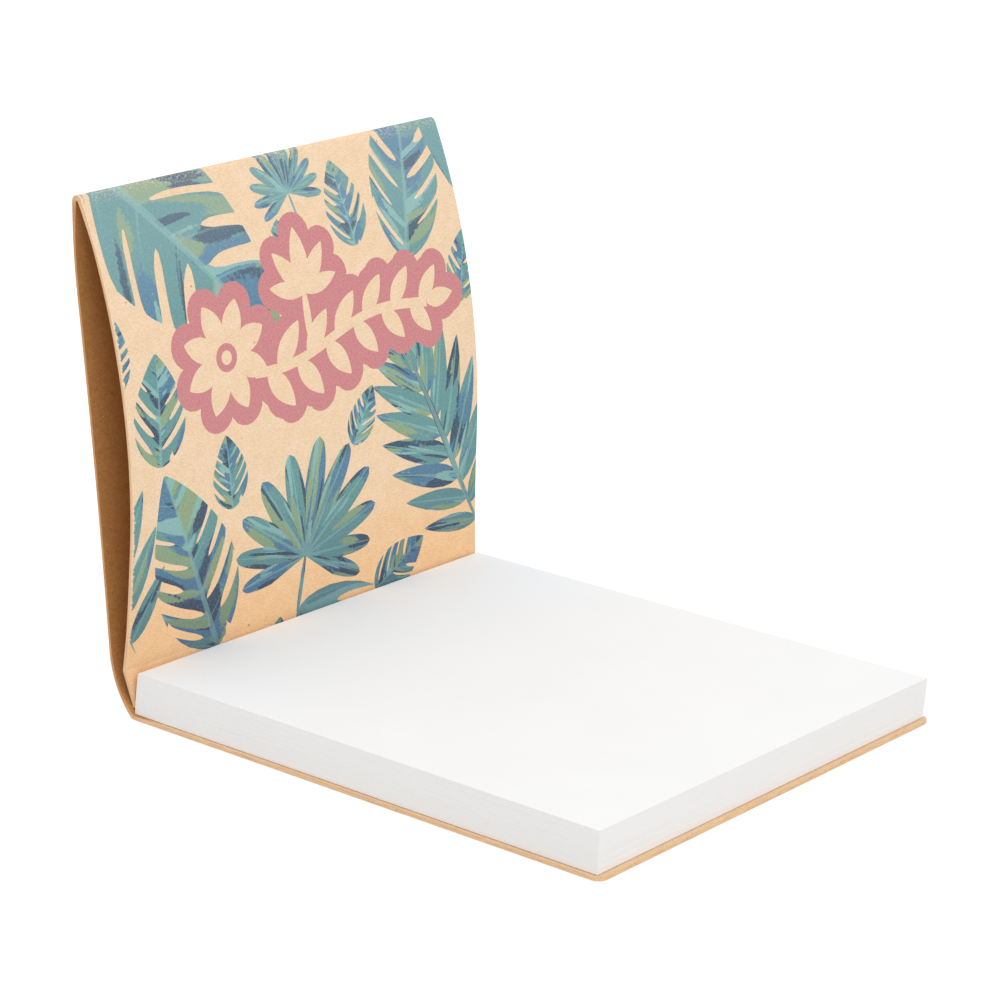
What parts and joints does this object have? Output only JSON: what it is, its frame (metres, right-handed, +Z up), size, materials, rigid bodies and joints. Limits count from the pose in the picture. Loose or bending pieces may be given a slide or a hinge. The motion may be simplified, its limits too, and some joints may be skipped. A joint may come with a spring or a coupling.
{
  "type": "sticky note pad",
  "caption": "Block of plain sticky notes on a folded card cover, whose folded-over flap stands up behind the notes and closes down over them.",
  "frame": {"origin": "on the underside of the base card, below the middle of the note block", "axes": "+Z up out of the notes, +Y towards the spine and the standing flap, X along the spine"},
  "size_m": [0.078, 0.1007, 0.079],
  "materials": {
    "note_paper": "matte",
    "kraft_card": "matte"
  },
  "bodies": {
    "base": {"note_block": "note_paper", "cover_base": "kraft_card", "cover_tail": "kraft_card"},
    "flap": {"cover_flap": "kraft_card"}
  },
  "joints": [
    {"name": "flap_hinge", "type": "hinge", "parent": "base", "child": "flap", "pos_m": [0, 0.04595, 0.0074], "axis": [1, 0, 0], "range_deg": [-5, 84]}
  ]
}
